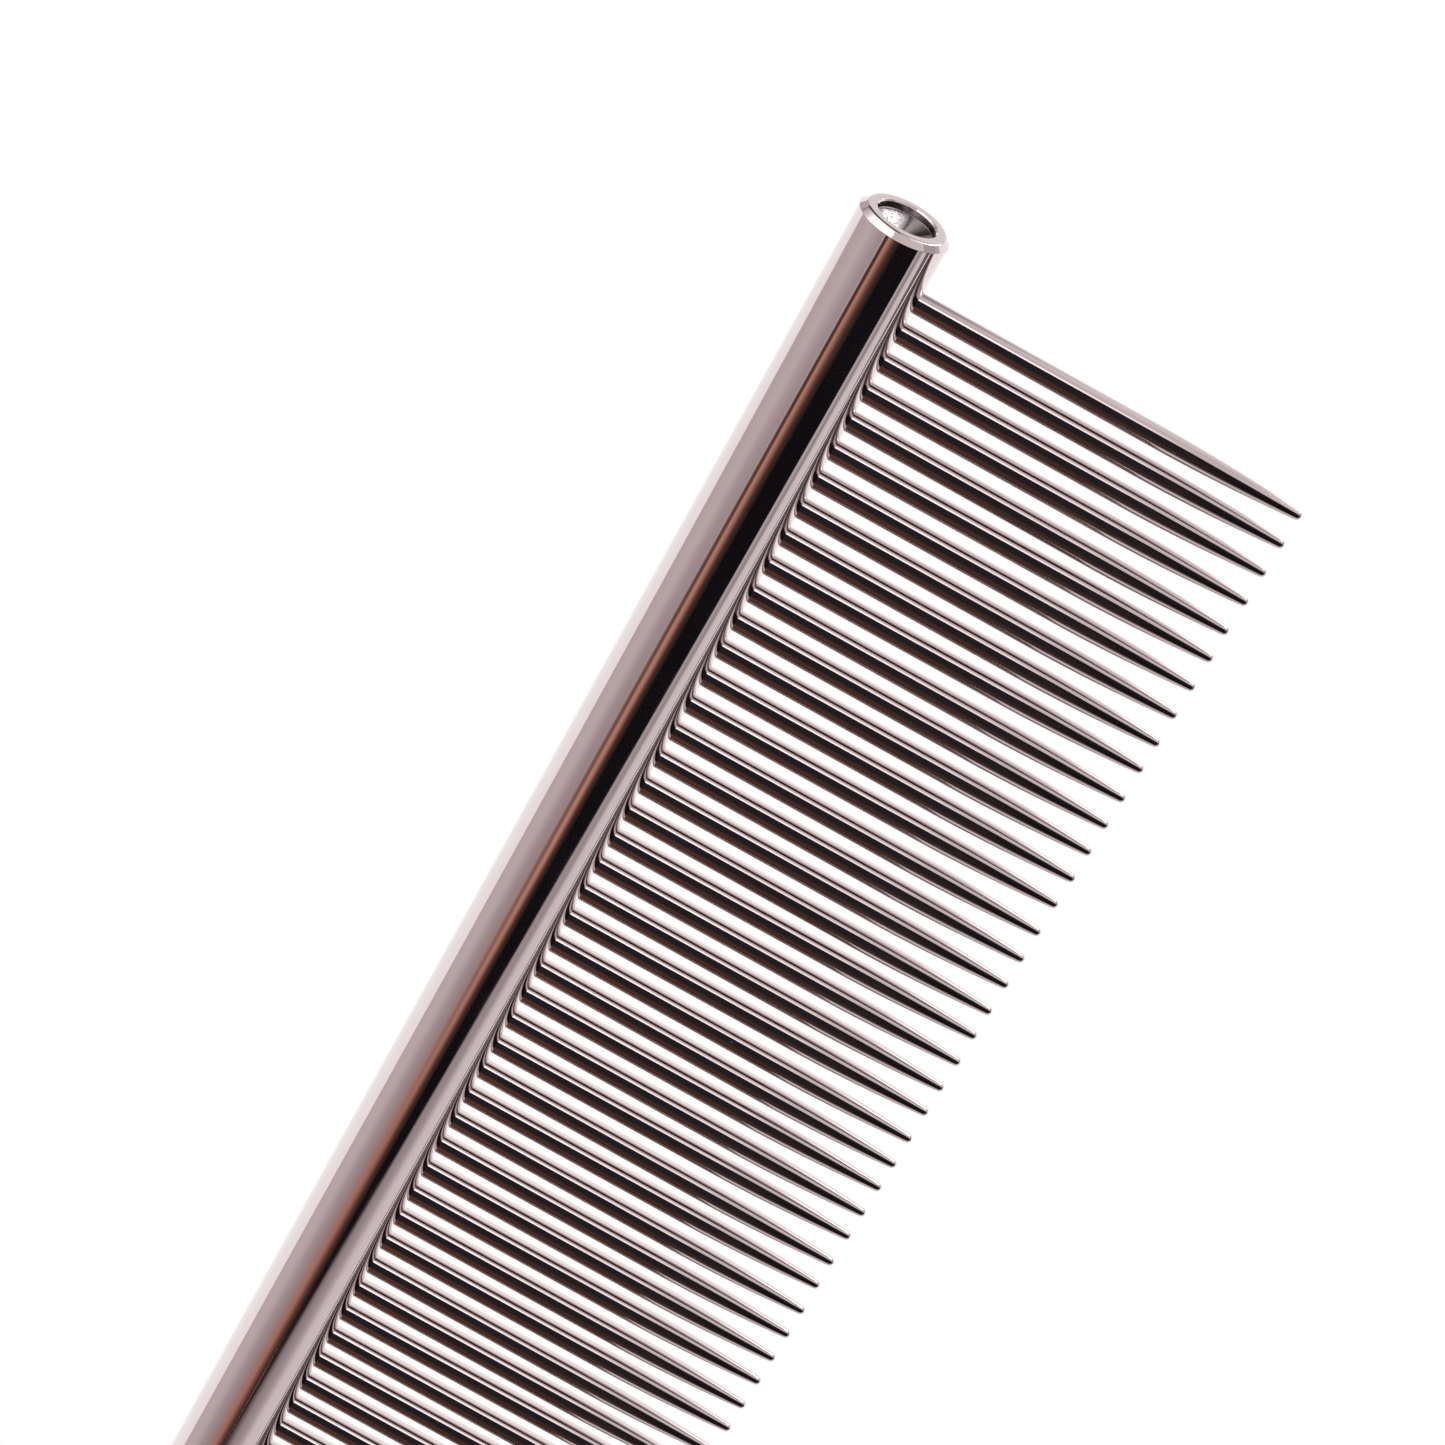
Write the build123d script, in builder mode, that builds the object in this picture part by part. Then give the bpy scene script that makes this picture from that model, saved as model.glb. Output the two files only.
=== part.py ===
from build123d import *
import math
import os

# Steel grooming comb: a solid round spine with a row of straight steel pins pressed into it.
#
# Frame, in millimetres: the origin is on the spine's axis, half way along it. +X runs along
# the spine, +Y points from the spine to the tips of the teeth, and +Z is up, square to the
# row of teeth, so the comb lies flat.

# --- driving dimensions ---
spine_radius = 3.25
end_chamfer = 0.45          # bevel round each end of the spine
dimple_radius = 2.07        # drilled dimple in the middle of each end face
dimple_wall = 0.55          # how deep the dimple's straight wall goes, down to its cone
dimple_lip = 0.12           # the edge is broken this much round the dimple's mouth
drill_point_angle = 118.0   # full angle of the cone that the drill leaves

tooth_count = 76
tooth_pitch = 2.4           # from one tooth's axis to the next
end_margin = 4.8            # from the end of the spine to the first tooth's axis
tooth_radius = 0.78
tip_reach = 31.75           # from the spine's axis to the point of a tooth
taper_radius = 130.0        # the long arc on which a tooth narrows
tip_radius = 0.34           # the round of its point
seat_depth = 4.6            # how deep a pin sits in the spine, from the spine's outer surface

single_teeth = 42           # this many teeth have a node each, and the rest share one in pairs

# --- worked out from those ---
spine_length = 2 * end_margin + (tooth_count - 1) * tooth_pitch
half_length = spine_length / 2
seat_floor = spine_radius - seat_depth
drill_clearance = 1.0       # the seats are drilled from this far above the spine
cone_depth = dimple_radius / math.tan(math.radians(drill_point_angle / 2))

# The long arc is tangent to the shank where the taper starts, and to the round of the point.
# Seen from the tooth's axis, its centre is on the far side.
arc_centre = tooth_radius - taper_radius
centre_gap = taper_radius - tip_radius
taper_length = math.sqrt(centre_gap**2 - arc_centre**2)
tip_centre = tip_reach - tip_radius
taper_start = tip_centre - taper_length
taper_end = (-arc_centre * tip_radius / centre_gap, tip_centre + taper_length * tip_radius / centre_gap)

# --- one pin, standing at X = 0 ---
with BuildPart() as pin:
    with BuildSketch(Plane.XY):
        with BuildLine():
            foot = Line((0, seat_floor), (tooth_radius, seat_floor))
            shank = Line(foot @ 1, (tooth_radius, taper_start))
            taper = TangentArc(shank @ 1, taper_end, tangent=shank % 1)
            point = TangentArc(taper @ 1, (0, tip_reach), tangent=taper % 1)
            Line(point @ 1, foot @ 0)
        make_face()
    revolve(axis=Axis.Y)

# --- the spine: a solid bar ---
with BuildPart() as spine:
    with BuildSketch(Plane.YZ.offset(-half_length)):
        Circle(spine_radius)
    extrude(amount=spine_length)
    chamfer(spine.edges().filter_by(GeomType.CIRCLE), end_chamfer)

    # the dimple in each end: a broken edge, a short straight wall and the drill's cone
    for side in (-1, 1):
        with BuildSketch(Plane.XY):
            with BuildLine():
                Polyline(
                    (side * half_length, 0),
                    (side * half_length, dimple_radius + dimple_lip),
                    (side * (half_length - dimple_lip), dimple_radius),
                    (side * (half_length - dimple_wall), dimple_radius),
                    (side * (half_length - dimple_wall - cone_depth), 0),
                    close=True,
                )
            make_face()
        revolve(axis=Axis.X, mode=Mode.SUBTRACT)

    # a blind seat for each pin, drilled in from the side that the teeth stand on
    with BuildSketch(Plane.ZX.offset(spine_radius + drill_clearance)):
        with GridLocations(0, tooth_pitch, 1, tooth_count):
            Circle(tooth_radius)
    extrude(amount=-(seat_depth + drill_clearance), mode=Mode.SUBTRACT)

spine.part.label = "spine"


def make_teeth(label, numbers):
    """The pins with these numbers, each its own solid, as one node. Number 1 is at the -X end."""
    with BuildPart() as teeth:
        with Locations(*[(end_margin - half_length + (n - 1) * tooth_pitch, 0, 0) for n in numbers]):
            add(pin.part)
    teeth.part.label = label
    return teeth.part


nodes = [spine.part]
for number in range(1, single_teeth + 1):
    nodes.append(make_teeth(f"tooth_{number:02}", [number]))
for number in range(single_teeth + 1, tooth_count, 2):
    nodes.append(make_teeth(f"teeth_{number}_{number + 1}", [number, number + 1]))

os.makedirs("parts", exist_ok=True)
for node in nodes:
    export_step(node, f"parts/{node.label}.step")
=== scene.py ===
# %% [markdown]
# # A steel grooming comb
# The comb is a round steel bar with a row of steel pins pressed into it. Everything on it is
# polished and plated metal, so it shows very little of itself: what the eye reads is the
# shape of its surfaces and the room around it. This lesson builds both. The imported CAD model
# gives the frame and the sizes, and each visible piece is made again as a finer mesh.

# %% Load the frame
import math
import random

import bpy
from mathutils import Matrix, Vector


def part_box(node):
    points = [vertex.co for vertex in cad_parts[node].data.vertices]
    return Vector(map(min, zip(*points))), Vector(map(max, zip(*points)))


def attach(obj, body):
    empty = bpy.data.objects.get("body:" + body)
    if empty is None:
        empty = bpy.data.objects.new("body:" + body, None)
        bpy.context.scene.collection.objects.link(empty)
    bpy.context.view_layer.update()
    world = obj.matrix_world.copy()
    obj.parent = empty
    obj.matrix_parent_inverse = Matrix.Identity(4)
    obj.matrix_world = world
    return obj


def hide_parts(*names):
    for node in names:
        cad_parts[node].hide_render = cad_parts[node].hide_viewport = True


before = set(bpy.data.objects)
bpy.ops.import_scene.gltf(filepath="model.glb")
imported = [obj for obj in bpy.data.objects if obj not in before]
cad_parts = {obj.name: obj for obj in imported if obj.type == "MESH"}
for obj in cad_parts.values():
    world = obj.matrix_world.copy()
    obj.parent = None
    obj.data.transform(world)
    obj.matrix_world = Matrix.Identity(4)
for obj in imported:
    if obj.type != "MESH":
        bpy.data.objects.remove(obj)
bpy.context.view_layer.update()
MM = 0.001

# %% [markdown]
# ## Sizes
# These are the comb's own driving sizes in millimetres, the same as in its CAD model. The
# spine lies along X with its middle at the origin, and the teeth point along +Y. Only the
# small rounds are new: a plated edge is never quite sharp, and a thin bright line along an
# edge is what shows that it is real metal.

# %% Sizes in millimetres
SPINE_RADIUS = 3.25
END_CHAMFER = 0.45
DIMPLE_RADIUS = 2.07
DIMPLE_WALL = 0.55                                # how deep the dimple's straight wall goes
DIMPLE_LIP = 0.12                                 # how much of the dimple's edge is broken
DRILL_POINT = math.radians(118)                   # full angle of the cone that the drill leaves
EDGE_ROUND = 0.04
WORN_ROUND = 0.35                                 # where the bevel meets the end face, buffed soft
LIP_ROUND = 0.06

TOOTH_COUNT = 76
TOOTH_PITCH = 2.4
END_MARGIN = 4.8
TOOTH_RADIUS = 0.78
TIP_REACH = 31.75
TAPER_RADIUS = 130.0
TIP_RADIUS = 0.34
SEAT_DEPTH = 4.6

SPINE_LENGTH = 2 * END_MARGIN + (TOOTH_COUNT - 1) * TOOTH_PITCH
HALF_LENGTH = SPINE_LENGTH / 2
TOOTH_PLACES = [END_MARGIN - HALF_LENGTH + i * TOOTH_PITCH for i in range(TOOTH_COUNT)]
low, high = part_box("spine")
print(f"spine {SPINE_LENGTH:.1f} mm long, CAD says {(high.x - low.x) / MM:.1f} mm")

# %% [markdown]
# ## The camera
# A long lens looks down on one end of the comb from about a foot away. Its place and the point
# it aims at are in the comb's own frame, and the roll tips the spine from the lower left to the
# upper right.

# %% Camera
CAMERA_PLACE = Vector((-216.7, -2.9, 304.3)) * MM
CAMERA_AIM = Vector((-56.3, 5.75, 0)) * MM
CAMERA_ROLL = math.radians(153.7)
LENS = 126.6
SENSOR_WIDTH = 36.0
NEAREST_SEEN = 0.01                               # metres

camera = bpy.data.objects.new("camera", bpy.data.cameras.new("camera"))
bpy.context.scene.collection.objects.link(camera)
camera.data.lens = LENS
camera.data.sensor_width = SENSOR_WIDTH
camera.data.clip_start = NEAREST_SEEN
sight_line = (CAMERA_AIM - CAMERA_PLACE).normalized()
upright = sight_line.to_track_quat("-Z", "Y").to_matrix().to_4x4()
roll = Matrix.Rotation(-CAMERA_ROLL, 4, "Z")
camera.matrix_world = Matrix.Translation(CAMERA_PLACE) @ upright @ roll
bpy.context.scene.camera = camera
print("camera up:", [round(v, 3) for v in camera.matrix_world.col[1][:3]])

# %% [markdown]
# ## Colours and nodes
# Hex colours are what a picker shows on a screen, so they are sRGB, and Blender's sockets want
# linear numbers. One function turns the one into the other. One more adds a shader node with
# its settings and its links, which keeps each material short enough to read.

# %% Helpers for colours and nodes
def linear(hex_colour):
    """An sRGB colour such as "#C8B9B9" as linear RGBA."""
    channels = [int(hex_colour[i:i + 2], 16) / 255 for i in (1, 3, 5)]
    return [c / 12.92 if c <= 0.04045 else ((c + 0.055) / 1.055) ** 2.4 for c in channels] + [1.0]


def add_node(tree, kind, settings=None, **links):
    """Adds a node with its own settings and its inputs.

    Each link is a value or another node's socket. Its name is the input's name, or _ and the
    input's number where two inputs share a name.
    """
    node = tree.nodes.new(kind)
    for name, value in (settings or {}).items():
        setattr(node, name, value)
    for name, value in links.items():
        numbered = name[1:].isdigit()
        socket = node.inputs[int(name[1:])] if numbered else node.inputs[name.replace("_", " ")]
        if isinstance(value, bpy.types.NodeSocket):
            tree.links.new(value, socket)
        else:
            socket.default_value = value
    return node


def new_material(name):
    """An empty material, its node tree and its shader, ready for settings."""
    material = bpy.data.materials.new(name)
    material.use_nodes = True
    tree = material.node_tree
    tree.nodes.clear()
    shader = add_node(tree, "ShaderNodeBsdfPrincipled")
    add_node(tree, "ShaderNodeOutputMaterial", Surface=shader.outputs[0])
    return material, tree, shader


print("white is", linear("#FFFFFF"))

# %% [markdown]
# ## Polished, plated steel
# The comb's steel is ground, polished and plated, which leaves a mirror with a faintly rosy,
# nickel-like tint. A perfect mirror looks like a computer's, so three small things break it up.
# Broad clouds of slightly duller metal, a few millimetres across, are what fingers and cloths
# leave. Fine polishing lines follow the way the wheel ran. Here and there a pit has no plate.
# The lines on a real comb are a few hundredths of a millimetre apart, too fine to show, so
# they are drawn about four times as coarse. Each piece shifts its noise by a random number of
# its own, so no two teeth carry the same marks.

# %% Polished steel material
MIRROR_ROUGHNESS = 0.03
HANDLED_ROUGHNESS = 0.07
LINE_SQUEEZE = 0.02                               # a polishing line is fifty times as long as wide
LINE_HEIGHT = 0.02                                # mm, and the eye should only just catch it
LINE_STRENGTH = 0.003
PIT_DEPTH = 0.04                                  # mm
PIT_STRENGTH = 0.8
PIT_CENTRE, PIT_EDGE = 0.012, 0.03                # how far a pit reaches, in gaps between pits
SHIFT_RANGE = 40.0                                # how far apart the pieces' patterns are spread


def plated_steel(name, colour, line_axis, pit_gap, line_gap=0.12, cloud_size=5.0):
    """Mirror-bright steel. line_axis (0 X, 1 Y) is the way its polishing lines run; sizes in mm."""
    material, tree, shader = new_material(name)
    place = add_node(tree, "ShaderNodeTexCoord").outputs["Object"]
    seed = add_node(tree, "ShaderNodeObjectInfo").outputs["Random"]
    shift = add_node(tree, "ShaderNodeMath", {"operation": "MULTIPLY"}, _0=seed, _1=SHIFT_RANGE)
    shift = shift.outputs[0]

    clouds = add_node(tree, "ShaderNodeTexNoise", {"noise_dimensions": "4D"}, Vector=place, W=shift,
                      Scale=1 / (cloud_size * MM), Detail=3.0, Roughness=0.55).outputs["Fac"]
    dulling = add_node(tree, "ShaderNodeMapRange", _0=clouds, _1=0.35, _2=0.75,
                       _3=MIRROR_ROUGHNESS, _4=HANDLED_ROUGHNESS)

    stretch = [1.0, 1.0, 1.0]
    stretch[line_axis] = LINE_SQUEEZE
    along = add_node(tree, "ShaderNodeMapping", Vector=place, Scale=stretch).outputs[0]
    lines = add_node(tree, "ShaderNodeTexNoise", {"noise_dimensions": "4D"}, Vector=along, W=shift,
                     Scale=1 / (line_gap * MM), Detail=2.0, Roughness=0.6).outputs["Fac"]
    line_bump = add_node(tree, "ShaderNodeBump", Height=lines, Strength=LINE_STRENGTH,
                         Distance=LINE_HEIGHT * MM)

    spots = add_node(tree, "ShaderNodeTexVoronoi", {"voronoi_dimensions": "4D"}, Vector=place,
                     W=shift, Scale=1 / (pit_gap * MM)).outputs["Distance"]
    pits = add_node(tree, "ShaderNodeMapRange", _0=spots, _1=PIT_CENTRE, _2=PIT_EDGE,
                    _3=0.0, _4=1.0).outputs[0]
    pit_bump = add_node(tree, "ShaderNodeBump", Height=pits, Strength=PIT_STRENGTH,
                        Distance=PIT_DEPTH * MM, Normal=line_bump.outputs[0])

    shader.inputs["Base Color"].default_value = linear(colour)
    shader.inputs["Metallic"].default_value = 1.0
    tree.links.new(dulling.outputs[0], shader.inputs["Roughness"])
    tree.links.new(pit_bump.outputs[0], shader.inputs["Normal"])
    return material


ROSY_STEEL = "#D3C7C7"
spine_steel = plated_steel("plated steel, spine", ROSY_STEEL, line_axis=0, pit_gap=3.2)
tooth_steel = plated_steel("plated steel, teeth", ROSY_STEEL, line_axis=1, pit_gap=2.4)
print("made", spine_steel.name, "and", tooth_steel.name)

# %% [markdown]
# ## Drilled steel
# A drill leaves rings: its lips scrape a spiral so flat that it reads as circles round the
# hole's axis. Plating doesn't fill them, so the dimple glitters where the rest of the comb
# mirrors. The drill chattered on one side, and there the cone is torn. Its colour is painted:
# a painted highlight on the torn side, painted shade on the wall and on the rest of the cone.
# The real rings are too fine to show, so they are drawn coarser.

# %% Drilled steel material
DRILLED_ROUGHNESS = 0.16
RING_GAP = 0.11                                   # mm from one ring to the next, on average
RING_DEPTH = 0.14                                 # mm, at the most
WANDER_SIZE, WANDER = 0.9, 0.25                   # mm: how far apart the rings bend, and by how much
TEAR_SIZE = 0.35                                  # mm between breaks in a ring
# The torn side's painted highlight fades in over the same Y, and the wall keeps the painted shade.
TORN_AND_LIT_STARTS, TORN_AND_LIT_FULL = 0.3, -0.7          # Y in mm over which the torn side fades in
CONE_STARTS, CONE_FULL = 2.0, 1.6                 # radius in mm over which it fades in from the wall


def drilled_steel(name, painted_highlight, painted_shade):
    """Bare drilled steel with rings round the X axis, torn on the -Y side, where its colour is a painted
    highlight; elsewhere it is painted shade.
    """
    material, tree, shader = new_material(name)
    place = add_node(tree, "ShaderNodeTexCoord").outputs["Object"]
    parts = add_node(tree, "ShaderNodeSeparateXYZ", Vector=place).outputs
    flat = add_node(tree, "ShaderNodeCombineXYZ", Y=parts["Y"], Z=parts["Z"]).outputs[0]
    radius = add_node(tree, "ShaderNodeVectorMath", {"operation": "LENGTH"}, _0=flat).outputs["Value"]

    bends = add_node(tree, "ShaderNodeTexNoise", Vector=place, Scale=1 / (WANDER_SIZE * MM),
                     Detail=2.0).outputs["Fac"]
    bent = add_node(tree, "ShaderNodeMath", {"operation": "MULTIPLY_ADD"},
                    _0=bends, _1=WANDER * MM, _2=radius).outputs[0]
    outward = add_node(tree, "ShaderNodeCombineXYZ", X=bent).outputs[0]
    rings = add_node(tree, "ShaderNodeTexNoise", Vector=outward, Scale=1 / (RING_GAP * MM),
                     Detail=3.0).outputs["Fac"]
    tears = add_node(tree, "ShaderNodeTexNoise", Vector=place, Scale=1 / (TEAR_SIZE * MM),
                     Detail=2.0).outputs["Fac"]

    side = add_node(tree, "ShaderNodeMapRange", {"interpolation_type": "SMOOTHSTEP"}, _0=parts["Y"],
                    _1=TORN_AND_LIT_STARTS * MM, _2=TORN_AND_LIT_FULL * MM, _3=0.0, _4=1.0).outputs[0]
    cone = add_node(tree, "ShaderNodeMapRange", _0=radius,
                    _1=CONE_STARTS * MM, _2=CONE_FULL * MM, _3=0.0, _4=1.0).outputs[0]
    torn_and_lit = add_node(tree, "ShaderNodeMath", {"operation": "MULTIPLY"}, _0=side, _1=cone).outputs[0]
    depth = add_node(tree, "ShaderNodeMath", {"operation": "MULTIPLY"}, _0=torn_and_lit, _1=tears).outputs[0]
    height = add_node(tree, "ShaderNodeMath", {"operation": "MULTIPLY"}, _0=rings, _1=depth).outputs[0]
    bump = add_node(tree, "ShaderNodeBump", Height=height, Strength=1.0, Distance=RING_DEPTH * MM)
    # Painted light: a painted highlight on the torn -Y side of the cone, painted shade on the wall and the
    # rest.
    colour = add_node(tree, "ShaderNodeMix", {"data_type": "RGBA"}, Factor=torn_and_lit,
                      _6=linear(painted_shade), _7=linear(painted_highlight)).outputs[2]

    tree.links.new(colour, shader.inputs["Base Color"])
    shader.inputs["Metallic"].default_value = 1.0
    shader.inputs["Roughness"].default_value = DRILLED_ROUGHNESS
    tree.links.new(bump.outputs[0], shader.inputs["Normal"])
    return material


# The bright colour is a painted highlight on the torn side, the dull one painted shade.
dimple_steel = drilled_steel("drilled steel, dimple", painted_highlight="#FDFAFA", painted_shade="#8E8688")
print("made", dimple_steel.name)

# %% [markdown]
# ## Meshes with exact normals
# A mirror gives away the smallest error in a surface's direction. Smooth shading guesses each
# vertex's normal from the faces round it, and near a hole or an edge that guess is wrong. These
# shapes are all circles and lines, so their true normals are known. A small builder collects
# points with their normals, then faces, and hands both to Blender.

# %% A mesh builder
class Shape:
    """Points in millimetres with their surface normals, and the faces that join them."""

    def __init__(self):
        self.points = []
        self.normals = []
        self.faces = []
        self.slots = []

    def point(self, place, normal):
        """Adds a point and gives its number."""
        self.points.append(Vector(place) * MM)
        self.normals.append(Vector(normal).normalized())
        return len(self.points) - 1

    def face(self, corners, slot=0):
        """Adds a face, turned so that its front is the side that its points' normals are on."""
        corners = list(corners)
        across = (self.points[corners[2]] - self.points[corners[0]]).cross(
            self.points[corners[-1]] - self.points[corners[1]])
        if across.dot(sum((self.normals[c] for c in corners), Vector())) < 0:
            corners.reverse()
        self.faces.append(corners)
        self.slots.append(slot)

    def join_rings(self, one, two, slot=0):
        """Quads between two closed rings of the same count, which both run the same way."""
        for i in range(len(one)):
            j = (i + 1) % len(one)
            self.face((one[i], two[i], two[j], one[j]), slot)

    def close_ring(self, ring, tip, slot=0):
        """Triangles from a closed ring to one point."""
        for i in range(len(ring)):
            self.face((ring[i], tip, ring[(i + 1) % len(ring)]), slot)

    def mesh(self, name, materials):
        """The finished mesh, with its materials and its exact normals."""
        mesh = bpy.data.meshes.new(name)
        mesh.from_pydata(self.points, [], self.faces)
        mesh.polygons.foreach_set("material_index", self.slots)
        mesh.polygons.foreach_set("use_smooth", [True] * len(self.faces))
        for material in materials:
            mesh.materials.append(material)
        mesh.validate(clean_customdata=False)
        mesh.normals_split_custom_set_from_vertices(self.normals)
        return mesh


def show(name, mesh, nodes):
    """Puts a mesh in the scene as a piece of the comb that stands for its CAD nodes."""
    piece = bpy.data.objects.new(name, mesh)
    bpy.context.scene.collection.objects.link(piece)
    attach(piece, "root")
    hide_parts(*nodes)
    return piece


print("a shape starts with", len(Shape().points), "points")

# %% [markdown]
# A turned piece is an outline spun round an axis. Its outline is drawn with sharp corners, and
# the next function rounds each of them. On a round the normal turns evenly from the one
# stretch's to the next one's, which is what makes the round shine as a line.

# %% Rounded outlines
ROUND_SAMPLES = 5


def rounded_outline(corners, radii):
    """A run of (place, normal) samples along straight stretches with rounded corners.

    corners are 2-D points in mm, with a radius for each inner one. A stretch's normal is its
    direction turned a quarter turn right.
    """
    def outward(a, b):
        run = (Vector(b) - Vector(a)).normalized()
        return Vector((run.y, -run.x))

    samples = [(Vector(corners[0]), outward(corners[0], corners[1]))]
    for a, b, c, radius in zip(corners, corners[1:], corners[2:], radii):
        first, second = outward(a, b), outward(b, c)
        turn = math.atan2(first.cross(second), first.dot(second))
        sign = 1.0 if turn > 0 else -1.0
        centre = Vector(b) - (first + second) * (radius * sign / (1 + first.dot(second)))
        for k in range(ROUND_SAMPLES + 1):
            angle = turn * k / ROUND_SAMPLES
            normal = Vector((first.x * math.cos(angle) - first.y * math.sin(angle),
                             first.x * math.sin(angle) + first.y * math.cos(angle)))
            samples.append((centre + normal * radius * sign, normal))
    samples.append((Vector(corners[-1]), outward(corners[-2], corners[-1])))
    return samples


print("outline check:", len(rounded_outline([(0, 0), (1, 0), (1, 1)], [0.1])), "samples")

# %% [markdown]
# ## The spine
# The real spine is a turned bar with a hole drilled for each pin. The mesh follows the same
# plan. Its skin is divided so that each hole sits in its own square patch, and rings of quads
# lead from the square to the hole's round edge. The edge rolls over into the hole with a round
# of six hundredths of a millimetre, which draws the fine bright line round each tooth's root.
# A boolean would make the same holes, but its long thin faces would spoil the mirror.

# %% Spine: how its skin is divided
SIDE_STEPS = 12                                   # quads along each side of a hole's square patch
PATCH_HALF = TOOTH_PITCH / 2
PATCH_ANGLE = math.asin(PATCH_HALF / SPINE_RADIUS)
REST_TURN = 2 * math.pi - 2 * PATCH_ANGLE         # round the bar from one edge of a patch to the other
REST_STEPS = round(REST_TURN / (2 * PATCH_ANGLE / SIDE_STEPS))

patch_angles = [-PATCH_ANGLE + 2 * PATCH_ANGLE * i / SIDE_STEPS for i in range(SIDE_STEPS + 1)]
rest_angles = [PATCH_ANGLE + REST_TURN * i / REST_STEPS for i in range(1, REST_STEPS)]
ring_angles = patch_angles + rest_angles          # once round the bar, from one patch edge

# the square's outline, anticlockwise from its lower left corner, as (X offset, angle)
square = (
    [(-PATCH_HALF + TOOTH_PITCH * i / SIDE_STEPS, -PATCH_ANGLE) for i in range(SIDE_STEPS)]
    + [(PATCH_HALF, a) for a in patch_angles[:-1]]
    + [(PATCH_HALF - TOOTH_PITCH * i / SIDE_STEPS, PATCH_ANGLE) for i in range(SIDE_STEPS)]
    + [(-PATCH_HALF, a) for a in reversed(patch_angles[1:])]
)
turns = [math.atan2(SPINE_RADIUS * a, x) for x, a in square]
print(len(ring_angles), "points round the bar,", len(square), "round a hole")

# %% Spine: rings round a hole
HOLE_RADIUS = TOOTH_RADIUS + 0.015                # the seam round a root is this much wider
HOLE_ROUND = 0.06
HOLE_DEPTH = 0.5                                  # as deep as the eye can follow the seam
HOLE_RIM = HOLE_RADIUS + HOLE_ROUND

spine = Shape()


def on_spine(x, angle):
    """A point on the bar's skin. Angle 0 is where the teeth stand, and it turns towards +Z."""
    out = (0, math.cos(angle), math.sin(angle))
    return spine.point((x, SPINE_RADIUS * out[1], SPINE_RADIUS * out[2]), out)


def skin_ring(place, share):
    """A ring on the skin round the hole at X = place. share is 0 at its rim and 1 at the square."""
    ring = []
    for turn, (edge_x, edge_angle) in zip(turns, square):
        rim_x = HOLE_RIM * math.cos(turn)
        rim_angle = math.asin(HOLE_RIM * math.sin(turn) / SPINE_RADIUS)
        x = rim_x + (edge_x - rim_x) * share
        ring.append(on_spine(place + x, rim_angle + (edge_angle - rim_angle) * share))
    return ring


def rolled_ring(place, roll):
    """A ring on the rounded edge, which rolls from the skin at 0 to the hole's wall at a right angle."""
    ring = []
    for turn in turns:
        reach = HOLE_RADIUS + HOLE_ROUND * (1 - math.sin(roll))
        x, z = reach * math.cos(turn), reach * math.sin(turn)
        y = math.sqrt(SPINE_RADIUS**2 - z**2) - HOLE_ROUND * (1 - math.cos(roll))
        skin = Vector((0, math.cos(math.asin(z / SPINE_RADIUS)), z / SPINE_RADIUS))
        inward = Vector((-math.cos(turn), 0, -math.sin(turn)))
        ring.append(spine.point((place + x, y, z), skin * math.cos(roll) + inward * math.sin(roll)))
    return ring


def wall_ring(place):
    """The lowest ring of the hole's wall."""
    ring = []
    for turn in turns:
        x, z = HOLE_RADIUS * math.cos(turn), HOLE_RADIUS * math.sin(turn)
        inward = (-math.cos(turn), 0, -math.sin(turn))
        ring.append(spine.point((place + x, SPINE_RADIUS - HOLE_DEPTH, z), inward))
    return ring


print("a hole's rim is", round(2 * HOLE_RIM, 2), "mm across")

# %% [markdown]
# The patches meet at seams, one column of points each, which the patches on both sides share.
# The strips of skin beside a patch take its extra points along their edge, so the whole skin is
# one closed surface.

# %% Spine: skin with its holes
SHARES = (0.55, 0.25, 0.08, 0.0)                  # the skin's rings get closer towards the rim
ROLL_STEPS = 4

seam_places = [place - PATCH_HALF for place in TOOTH_PLACES] + [TOOTH_PLACES[-1] + PATCH_HALF]
seams = [[on_spine(x, a) for a in ring_angles] for x in seam_places]

for place, left, right in zip(TOOTH_PLACES, seams, seams[1:]):
    between = [place - PATCH_HALF + TOOTH_PITCH * i / SIDE_STEPS for i in range(1, SIDE_STEPS)]
    top = [on_spine(x, PATCH_ANGLE) for x in between]
    bottom = [on_spine(x, -PATCH_ANGLE) for x in between]
    rings = [skin_ring(place, share) for share in SHARES]
    rings += [rolled_ring(place, math.pi / 2 * step / ROLL_STEPS) for step in range(1, ROLL_STEPS + 1)]
    rings.append(wall_ring(place))

    outer = (
        [left[0]] + bottom + right[:SIDE_STEPS]
        + [right[SIDE_STEPS]] + top[::-1] + left[SIDE_STEPS:0:-1]
    )
    for inner in rings:
        spine.join_rings(outer, inner)
        outer = inner

    above = SIDE_STEPS + 1
    spine.face([left[SIDE_STEPS]] + top + [right[SIDE_STEPS], right[above], left[above]])
    spine.face([right[0]] + bottom[::-1] + [left[0], left[-1], right[-1]])
    for i in range(above, len(ring_angles) - 1):
        spine.face((left[i], right[i], right[i + 1], left[i + 1]))
print("skin:", len(spine.faces), "faces")

# %% [markdown]
# ## The spine's ends
# Each end is a solid of revolution: the bevel, a flat ring, the broken edge of the dimple, its
# short straight wall and the drill's cone. The outline is drawn once and spun round the bar's
# axis, and every corner is rounded a little. The wall and the cone are bare drilled steel.

# %% Spine: both ends
BARE_END = 0.8                                    # the last seam is further in than this
LAST_RING = 0.03                                  # the cone's last ring, as a share of its width
WALL_SLACK = 0.01

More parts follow.
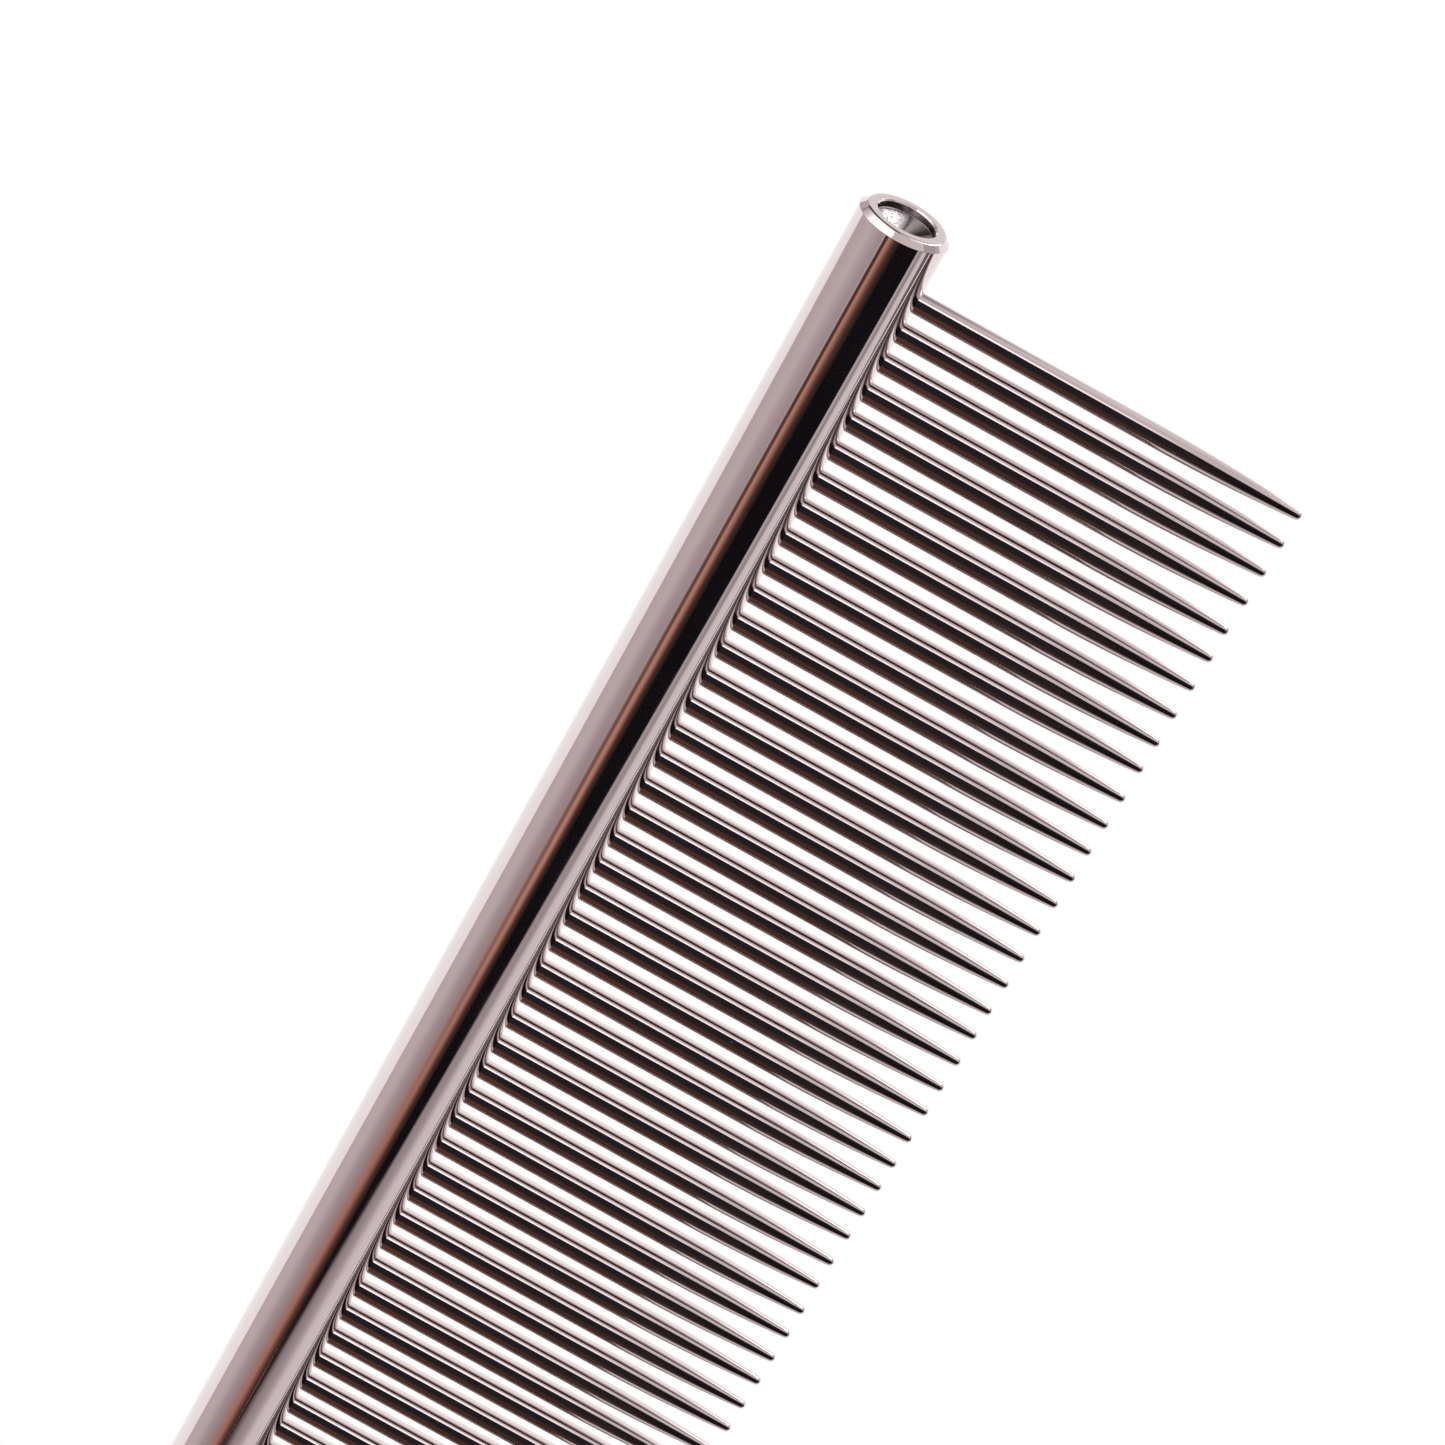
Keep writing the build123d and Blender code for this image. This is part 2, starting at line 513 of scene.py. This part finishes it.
cone_depth = DIMPLE_RADIUS / math.tan(DRILL_POINT / 2)
end_outline = rounded_outline(                    # (distance in from the end, radius)
    [
        (BARE_END, SPINE_RADIUS),
        (END_CHAMFER, SPINE_RADIUS),
        (0.0, SPINE_RADIUS - END_CHAMFER),
        (0.0, DIMPLE_RADIUS + DIMPLE_LIP),
        (DIMPLE_LIP, DIMPLE_RADIUS),
        (DIMPLE_WALL, DIMPLE_RADIUS),
        (DIMPLE_WALL + cone_depth * (1 - LAST_RING), DIMPLE_RADIUS * LAST_RING),
    ],
    (EDGE_ROUND, WORN_ROUND, LIP_ROUND, LIP_ROUND, EDGE_ROUND),
)
for side, seam in ((-1, seams[0]), (1, seams[-1])):
    last = seam
    for place, normal in end_outline:
        ring = []
        for angle in ring_angles:
            y, z = math.cos(angle), math.sin(angle)
            spot = (side * (HALF_LENGTH - place.x), y * place.y, z * place.y)
            ring.append(spine.point(spot, (side * -normal.x, y * normal.y, z * normal.y)))
        drilled = place.y < DIMPLE_RADIUS + WALL_SLACK and place.x > DIMPLE_LIP
        spine.join_rings(ring, last, slot=1 if drilled else 0)
        last = ring
    cone_point = spine.point((side * (HALF_LENGTH - DIMPLE_WALL - cone_depth), 0, 0), (side, 0, 0))
    spine.close_ring(last, cone_point, slot=1)

spine_mesh = spine.mesh("spine_polished", [spine_steel, dimple_steel])
show("spine_polished", spine_mesh, ["spine"])
print("spine:", len(spine.faces), "faces")

# %% [markdown]
# ## The teeth
# A tooth is a pin turned on a long arc, so that it narrows over its last eleven millimetres
# without a visible start, and its point is a small round that won't scratch skin. One mesh
# serves all of them.

# %% One tooth
ROUND_STEPS = 40
TAPER_STEPS = 18
TIP_STEPS = 9

arc_centre = TOOTH_RADIUS - TAPER_RADIUS
centre_gap = TAPER_RADIUS - TIP_RADIUS
taper_length = math.sqrt(centre_gap**2 - arc_centre**2)
tip_centre = TIP_REACH - TIP_RADIUS
taper_start = tip_centre - taper_length
taper_sweep = math.atan2(taper_length, -arc_centre)
seat_floor = SPINE_RADIUS - SEAT_DEPTH

# (radius, Y, normal outwards, normal along Y)
pin_rows = [(TOOTH_RADIUS, seat_floor, 1.0, 0.0), (TOOTH_RADIUS, SPINE_RADIUS - HOLE_DEPTH, 1.0, 0.0)]
for i in range(TAPER_STEPS + 1):
    a = taper_sweep * i / TAPER_STEPS
    out, along = math.cos(a), math.sin(a)
    pin_rows.append((arc_centre + TAPER_RADIUS * out, taper_start + TAPER_RADIUS * along, out, along))
for i in range(1, TIP_STEPS):
    a = taper_sweep + (math.pi / 2 - taper_sweep) * i / TIP_STEPS
    out, along = math.cos(a), math.sin(a)
    pin_rows.append((TIP_RADIUS * out, tip_centre + TIP_RADIUS * along, out, along))

pin = Shape()
foot = pin.point((0, seat_floor, 0), (0, -1, 0))
pin_rings = []
for radius, y, out, along in pin_rows:
    ring = []
    for i in range(ROUND_STEPS):
        t = 2 * math.pi * i / ROUND_STEPS
        x, z = math.cos(t), math.sin(t)
        ring.append(pin.point((radius * x, y, radius * z), (out * x, along, out * z)))
    pin_rings.append(ring)
tip = pin.point((0, TIP_REACH, 0), (0, 1, 0))

pin.close_ring(pin_rings[0], foot)
for lower, upper in zip(pin_rings, pin_rings[1:]):
    pin.join_rings(upper, lower)
pin.close_ring(pin_rings[-1], tip)
pin_mesh = pin.mesh("tooth_polished", [tooth_steel])
print("tooth:", len(pin.faces), "faces, its taper starts at Y =", round(taper_start, 2), "mm")

# %% [markdown]
# Each pin was pressed in with a hair of lean, which is why a row of tips is never quite even.
# So every tooth is turned by a small seeded amount about its root, sunk by a few hundredths of
# a millimetre, and spun to show a different side of the same polish.

# %% The row of teeth
TIP_DRIFT = 0.06                                  # mm sideways at the tip, typically
LIFT_SHARE = 0.6                                  # how much less the tips drift up and down
SUNK = 0.04                                       # mm, typically
TOOTH_SEED = 7

lean_angle = TIP_DRIFT / (TIP_REACH - SPINE_RADIUS)
draw = random.Random(TOOTH_SEED)
for number, place in enumerate(TOOTH_PLACES, start=1):
    single = f"tooth_{number:02}"
    shared = f"teeth_{number}_{number + 1}" if number % 2 else f"teeth_{number - 1}_{number}"
    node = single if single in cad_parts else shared
    tooth = show(f"{single}_polished", pin_mesh, [node])

    sideways = Matrix.Rotation(draw.gauss(0, lean_angle), 4, "Z")
    up_and_down = Matrix.Rotation(draw.gauss(0, lean_angle * LIFT_SHARE), 4, "X")
    spin = Matrix.Rotation(draw.uniform(0, 2 * math.pi), 4, "Y")
    sink = Matrix.Translation((0, -abs(draw.gauss(0, SUNK)) * MM, 0))
    root = Matrix.Translation(Vector((place, SPINE_RADIUS, 0)) * MM)
    from_root = Matrix.Translation((0, -SPINE_RADIUS * MM, 0))
    tooth.matrix_world = root @ (sideways @ up_and_down) @ sink @ from_root @ spin
print(TOOTH_COUNT, "teeth in place")

# %% [markdown]
# ## The set
# Polished metal is lit by what it mirrors, so a studio builds the reflections first: white paper
# under the piece, a soft light beyond one end, a black cloth overhead for the dark bands,
# something copper-coloured that warms one edge of them, and pale walls. This set does the same.
# Each card is a grid of points with a colour of its own at each, so that one card can fade from
# one colour to the next. The cards are three metres away, which is far enough for the whole comb
# to mirror them alike, and only the table shows to the camera.

# %% Helpers for the set
NEAR_END = Vector((-HALF_LENGTH, 0, 0))
FAR_AWAY = 3000.0
TABLE_Z = -60.0


def overhead(x, y):
    """A point of the ceiling. x and y are slopes from straight above the comb's near end."""
    return NEAR_END + FAR_AWAY * Vector((x, y, 1))


def toward(azimuth, elevation):
    """A point far from the near end, by azimuth from +X towards +Y and elevation in degrees."""
    a, e = math.radians(azimuth), math.radians(elevation)
    return NEAR_END + FAR_AWAY * Vector((math.cos(a) * math.cos(e), math.sin(a) * math.cos(e), math.sin(e)))


def on_table(x, y, lift=0.0):
    """A point on the table, or a little over it."""
    return Vector((x, y, TABLE_Z + lift))


def lit_card(name, rows, brightness=1.0, seen=False):
    """A glowing card through rows of (place in mm, hex colour), and all rows have the same count."""
    mesh = bpy.data.meshes.new(name)
    wide = len(rows[0])
    spots = [spot for row in rows for spot in row]
    faces = [(i + j * wide, i + 1 + j * wide, i + 1 + (j + 1) * wide, i + (j + 1) * wide)
             for j in range(len(rows) - 1) for i in range(wide - 1)]
    mesh.from_pydata([place * MM for place, colour in spots], [], faces)
    shine = mesh.color_attributes.new("shine", "FLOAT_COLOR", "POINT")
    for corner, (place, colour) in zip(shine.data, spots):
        corner.color = linear(colour)

    material = bpy.data.materials.new(name)
    material.use_nodes = True
    tree = material.node_tree
    tree.nodes.clear()
    colours = add_node(tree, "ShaderNodeVertexColor", {"layer_name": "shine"}).outputs["Color"]
    glow = add_node(tree, "ShaderNodeEmission", Color=colours, Strength=brightness)
    add_node(tree, "ShaderNodeOutputMaterial", Surface=glow.outputs[0])
    mesh.materials.append(material)

    card = bpy.data.objects.new(name, mesh)
    bpy.context.scene.collection.objects.link(card)
    card.visible_camera = seen
    card.visible_diffuse = seen
    card.visible_shadow = False
    print(f"{name}: {len(faces)} panels")


# %% [markdown]
# ### The table
# The table is white and lit so evenly that it has no shadow. The metal sees it a little brighter
# than the camera does, from a second card just over it that the camera doesn't see.

# %% Table
WHITE = "#FFFFFF"
TABLE_HALF = 3000.0
TABLE_GLOW = 1.2
GLOW_LIFT = 0.5


def whole_table(lift):
    """Two rows of white corners that cover the table."""
    ends = (-TABLE_HALF, TABLE_HALF)
    return [[(on_table(x, y, lift), WHITE) for x in ends] for y in ends]


lit_card("table", whole_table(0.0), seen=True)
lit_card("table_glow", whole_table(GLOW_LIFT), TABLE_GLOW)

# %% [markdown]
# ### Overhead
# The copper sheet hangs beside the black cloth. Where it meets the cloth it is darkest, with painted
# shade, and it has a thin dark hem on its other side, which fades towards the far end. Each of its
# rows runs along the comb, out to the far horizon, with a colour for its near end, its middle and its far
# end.

# %% Copper sheet
PALE_WALL = "#D4CACA"
SHEET_START, HEM_START, HEM_END, FADE_END, SHEET_END = 0.36, 0.44, 0.60, 0.73, 1.6
TO_HORIZON = 6.0                                  # how many times further out the last column lies
SEAM = 0.13                                 # where the copper sheet meets the black cloth
copper_rows = [                                   # slope, colour at the near end, middle and far end
    (-9.00, PALE_WALL, PALE_WALL, PALE_WALL),
    (-2.20, "#DED5D6", "#DED5D6", "#DCD3D4"),
    (-1.50, "#DAD0D2", "#DAD0D2", "#D2C7C9"),
    (-1.19, "#D0C4C7", "#D0C4C7", "#C6BBBD"),
    (-0.84, "#C1B4B7", "#C1B4B7", "#BCADB0"),
    (-0.64, "#BBB0B3", "#BBB0B3", "#B8A6A7"),
    (-0.56, "#B8ACAF", "#B8ACAF", "#B6A1A2"),
    (-0.52, "#DCD0D1", "#BDB0B2", "#B7A0A0"),
    (-0.48, "#C0AFAD", "#BBACAC", "#B99D9C"),
    (-0.46, "#5A392F", "#A28A86", "#BA9793"),
    (-0.35, "#5A382E", "#80594C", "#BD9188"),
    (-0.27, "#D2A08F", "#A87C6A", "#BD8C7E"),
    (-0.20, "#B88673", "#CFA08E", "#B98674"),
    (-0.15, "#A37362", "#D0A08D", "#A97766"),
    (-0.09, "#855A4C", "#B98873", "#906152"),
    (-0.04, "#6A4539", "#8F6354", "#7D5449"),
    (0.04, "#4A372F", "#553A30", "#5A3C33"),
    (SEAM, "#392C2A", "#392C2A", "#44302C"),
]
copper_card = []
for y, near, middle, far in copper_rows:
    columns = ((SHEET_START, near), (HEM_START, near), (HEM_END, middle), (FADE_END, far), (SHEET_END, far))
    row = [(overhead(x, y), colour) for x, colour in columns]
    row.append((overhead(SHEET_END * TO_HORIZON, y * TO_HORIZON), far))
    copper_card.append(row)
lit_card("copper_sheet", copper_card)

# %% [markdown]
# The cloth is black above the comb, and a little paler over its near end, which the teeth
# mirror. Past the cloth the ceiling is grey, first lighter, then darker, and then it rises to
# the bright wall. Each outline below goes once round the cloth, from its left side over
# its far side to the corner at the copper sheet, and lies outside the one before it.

# %% Black cloth and the grey round it
NEAR_BLACK = "#2A262B"
BLACK = "#141317"
SHADOW = "#44302C"                                # where the copper sheet meets the cloth
# Painted shade on the copper sheet where it meets the cloth, nearer to the comb.
NEAR_SHADOW = "#392C2A"                                  # the same corner, nearer to the comb
CLOTH_START = -1.11
NEAR_CLOTH_END = 0.24
SIDE_START = -0.5                                 # from here on the near cloth warms to the sheet

near_rows = [(-9.0, PALE_WALL), (-0.9, "#BAAFB2"), (-0.85, NEAR_BLACK), (SEAM, NEAR_BLACK)]
near_card = [[(overhead(CLOTH_START, y), colour), (overhead(NEAR_CLOTH_END, y), colour),
              (overhead(SHEET_START, y), "#4C3B39" if y > SIDE_START else colour)]
             for y, colour in near_rows]
lit_card("black_cloth_near", near_card)

cloth_outlines = [
    ((CLOTH_START, SEAM), (0.40, SEAM), (0.60, SEAM), (0.68, SEAM), (0.74, SEAM), (0.78, SEAM)),
    ((CLOTH_START, 0.23), (0.40, 0.23), (0.60, 0.23), (0.68, 0.23), (0.74, 0.23), (0.77, 0.15)),
    ((CLOTH_START, 1.59), (0.80, 1.59), (0.86, 1.38), (0.81, 0.90), (0.78, 0.40), (0.77, 0.14)),
    ((CLOTH_START, 1.65), (0.85, 1.65), (0.89, 1.42), (0.84, 0.90), (0.82, 0.45), (0.82, SEAM)),
    ((CLOTH_START, 2.00), (1.04, 2.00), (1.00, 1.60), (0.90, 0.92), (0.88, 0.48), (0.88, SEAM)),
    ((CLOTH_START, 2.45), (1.25, 2.45), (1.12, 1.80), (0.95, 0.95), (0.92, 0.48), (0.92, SEAM)),
    ((CLOTH_START, 3.10), (1.50, 3.10), (1.34, 1.85), (1.14, 1.15), (1.06, 0.48), (1.06, SEAM)),
    ((CLOTH_START, 4.20), (2.10, 4.20), (1.80, 2.20), (1.45, 1.30), (1.60, 0.48), (1.60, SEAM)),
]
cloth_colours = [
    (NEAR_BLACK, NEAR_SHADOW, NEAR_SHADOW, SHADOW, SHADOW, SHADOW),
    (NEAR_BLACK, BLACK, BLACK, BLACK, BLACK, "#2C2022"),
    (BLACK, BLACK, BLACK, BLACK, BLACK, "#3A2A2A"),
    ("#DAD4D8", "#DAD4D8", "#CEC8CC", "#B0A4A8", "#93878B", SHADOW),
    ("#BDB4B8", "#BDB4B8", "#BAB1B4", "#B3A8AB", "#A89DA0", SHADOW),
    ("#A0969A", "#A0969A", "#B1A7AA", "#B3A9AC", "#B0A5A8", SHADOW),
    ("#E8E1E3", "#E8E1E3", "#DCD4D6", "#CAC1C2", "#BDB3B5", SHADOW),
    ("#F2EBEC", "#F2EBEC", "#F2EBEC", "#F2EBEC", "#E0D8D9", SHADOW),
]
cloth_card = [[(overhead(*spot), colour) for spot, colour in zip(outline, colours)]
              for outline, colours in zip(cloth_outlines, cloth_colours)]
lit_card("black_cloth", cloth_card)

# %% [markdown]
# ### Beyond the near end
# The soft light lies low beyond the near end and reaches round to the -Y side. The teeth draw it
# as a thin bright line, and the bevel of the spine's end as a white patch. It fades towards +Y,
# so the bright line leaves the teeth where they taper. On the teeth's side a dark wall stands
# for the unlit half of the room, low along the far horizon and high beside the tips.

# %% Soft light and dark wall
SOFT_LIGHT = 2.0
LAMP_WHITE = "#FFFAFA"
LAMP_EDGE = "#9C9496"
FADED = "#A89EA0"
soft_rows = [                                     # azimuth, lowest and highest elevation, colour
    (254, -10, 12, LAMP_EDGE),
    (236, -9, 16, LAMP_WHITE),
    (200, 12, 34, LAMP_WHITE),
    (178, 28, 42, LAMP_WHITE),
    (171, 28, 42, FADED),
]
soft_card = [[(toward(azimuth, low), colour), (toward(azimuth, high), colour)]
             for azimuth, low, high, colour in soft_rows]
lit_card("soft_light", soft_card, SOFT_LIGHT)

WALL_FOOT = -6
wall_columns = [                                  # azimuth, highest elevation, colour
    (15, 1, "#8A8084"),
    (66, 1, "#7C7276"),
    (76, 36, "#6A6266"),
    (116, 36, "#575054"),
    (127, 36, "#C9BFC2"),
]
dark_wall = [[(toward(azimuth, WALL_FOOT), colour) for azimuth, top, colour in wall_columns],
             [(toward(azimuth, top), colour) for azimuth, top, colour in wall_columns]]
lit_card("dark_wall", dark_wall)

# %% [markdown]
# ### The floor that the end mirrors
# The spine's end, its bevel and its dimple look down, so the floor round them decides how they
# read. Straight under the end the table is plain white, which gives the end face its even grey.
# Towards -Y it rises from grey to the soft light's own white, which gives the bevel its fade. A
# dark strip between them keeps the dimple's wall dark, and a bright one towards +Y is what the
# torn side of its cone throws back. Each card lies half a millimetre or more over the one below.

# %% Floor cards
BESIDE_LIFT, UNDER_LIFT, BEYOND_LIFT, STRIP_LIFT = 1.0, 1.5, 2.0, 3.0

beside = [[(-700, 880), (2400, -3925)], [(-700, -4000), (2400, -9000)]]
lit_card("beyond_the_side", [[(on_table(x, y, BESIDE_LIFT), PALE_WALL) for x, y in row] for row in beside])

end_floor = [                                     # X, and the colour on the -Y side there
    (-137, "#968F90"),
    (-200, "#B4AEAE"),
    (-300, "#DCD6D6"),
    (-460, LAMP_WHITE),
    (-3000, LAMP_WHITE),
]
DARK_STRIP, GREY_STRIP, TOOTH_STRIP, FAR_FLOOR = "#34302F", "#837E81", "#B4B0B2", "#8E8A88"
beyond_card = []
for x, side in end_floor:
    columns = ((-3000, side), (-95, side), (-50, DARK_STRIP), (-10, DARK_STRIP), (8, GREY_STRIP),
               (22, TOOTH_STRIP), (50, TOOTH_STRIP), (120, FAR_FLOOR), (3000, FAR_FLOOR))
    beyond_card.append([(on_table(x, y, BEYOND_LIFT), colour) for y, colour in columns])
lit_card("beyond_the_end", beyond_card, SOFT_LIGHT)

under_end = [[(on_table(x, y, UNDER_LIFT), "#FAF8FA") for y in (-25, 40)] for x in (-136, -112)]
lit_card("under_the_end", under_end)

DIMPLE_LIGHT = 3.5
strip_edges = [                                   # X, and the strip's edges in Y
    (-130, 40, 62),
    (-160, 50, 78),
    (-220, 68, 112),
    (-310, 92, 150),
    (-590, 150, 235),
    (-1180, 220, 340),
]
strip = [[(on_table(x, y, STRIP_LIFT), "#FFFCFC") for y in edges] for x, *edges in strip_edges]
lit_card("dimple_light", strip, DIMPLE_LIGHT)

# %% [markdown]
# ### Walls
# What no card covers is the world's own colour, a pale mauve that is brighter on the teeth's
# side. The camera itself sees white paper there. The plain Standard view keeps the colours as
# they are, so a white card stays white.

# %% Walls and view
DIM_WALL, BRIGHT_WALL = "#D6CCCC", "#F4EDEE"
WALL_REACH = 0.9                                  # Y of the direction at which the wall is at its own colour

world = bpy.data.worlds.new("studio")
bpy.context.scene.world = world
world.use_nodes = True
sky = world.node_tree
sky.nodes.clear()
heading = add_node(sky, "ShaderNodeTexCoord").outputs["Generated"]
sideways = add_node(sky, "ShaderNodeSeparateXYZ", Vector=heading).outputs["Y"]
share = add_node(sky, "ShaderNodeMapRange", Value=sideways, _1=-WALL_REACH, _2=WALL_REACH).outputs[0]
wall = add_node(sky, "ShaderNodeMix", {"data_type": "RGBA"}, Factor=share,
                _6=linear(DIM_WALL), _7=linear(BRIGHT_WALL)).outputs[2]
walls = add_node(sky, "ShaderNodeBackground", Color=wall, Strength=1.0)
paper = add_node(sky, "ShaderNodeBackground", Color=linear(WHITE), Strength=1.0)
looking = add_node(sky, "ShaderNodeLightPath").outputs["Is Camera Ray"]
both = add_node(sky, "ShaderNodeMixShader", _0=looking, _1=walls.outputs[0], _2=paper.outputs[0])
add_node(sky, "ShaderNodeOutputWorld", Surface=both.outputs[0])
bpy.context.scene.view_settings.view_transform = "Standard"
print("walls made, view:", bpy.context.scene.view_settings.view_transform)
